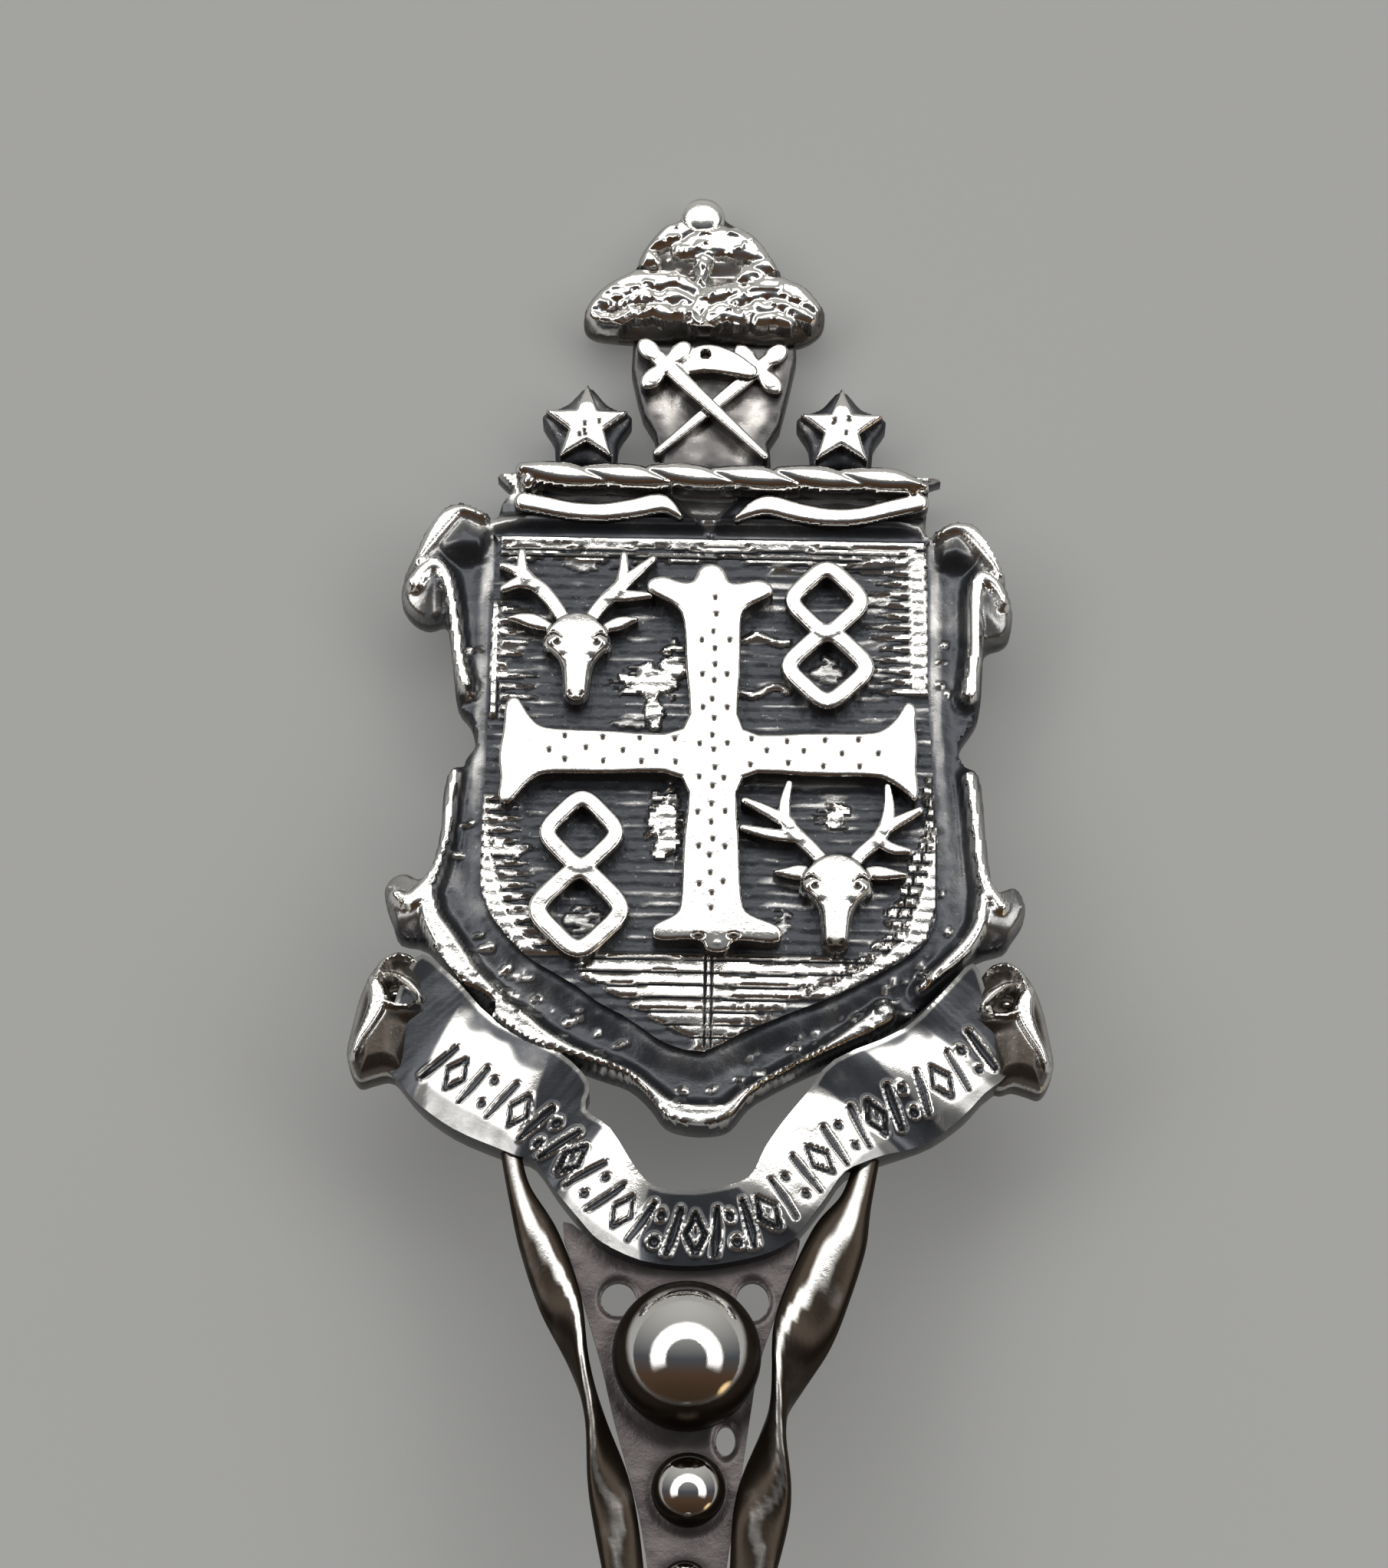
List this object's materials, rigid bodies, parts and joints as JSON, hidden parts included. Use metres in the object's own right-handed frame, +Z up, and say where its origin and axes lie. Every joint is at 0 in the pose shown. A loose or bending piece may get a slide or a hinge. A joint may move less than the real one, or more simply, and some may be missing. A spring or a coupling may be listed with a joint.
{
  "type": "souvenir spoon",
  "caption": "Silver souvenir spoon: oval bowl, arched shaft, openwork V stem with graduated balls, and a heraldic finial of shield, crest and ribbon with darkened recesses.",
  "frame": {"origin": "middle of the spoon's footprint, on the surface it lies on", "axes": "+Y along the spoon from the bowl's tip to the finial's tip, +Z up out of the open bowl and the finial's face, +X to the right of the finial seen upright"},
  "size_m": [0.024, 0.118, 0.011],
  "materials": {
    "polished_silver": "polished",
    "oxidised_silver": "satin"
  },
  "bodies": {
    "root": {"ball_large": "polished_silver", "ball_middle": "polished_silver", "ball_small": "polished_silver", "ball_smallest": "polished_silver", "bowl": "polished_silver", "crest_block": "oxidised_silver", "crest_tree": "polished_silver", "cross": "polished_silver", "finial_plate": "polished_silver", "lozenges_lower": "polished_silver", "lozenges_upper": "polished_silver", "motto_ribbon": "polished_silver", "rail_left": "polished_silver", "rail_right": "polished_silver", "ribbon_curl_left": "polished_silver", "ribbon_curl_right": "polished_silver", "rim_base": "polished_silver", "rim_diagonal_left": "polished_silver", "rim_diagonal_right": "polished_silver", "rim_lower_left": "polished_silver", "rim_lower_right": "polished_silver", "rim_upper_left": "polished_silver", "rim_upper_right": "polished_silver", "shield": "oxidised_silver", "staff_over": "polished_silver", "staff_under": "polished_silver", "stag_head_lower": "polished_silver", "stag_head_upper": "polished_silver", "star_left": "polished_silver", "star_pad_left": "oxidised_silver", "star_pad_right": "oxidised_silver", "star_right": "polished_silver", "stem_collar": "polished_silver", "stem_shaft": "polished_silver", "torse_band_left": "polished_silver", "torse_band_right": "polished_silver", "torse_rope": "polished_silver", "web_plate": "polished_silver"}
  },
  "joints": []
}
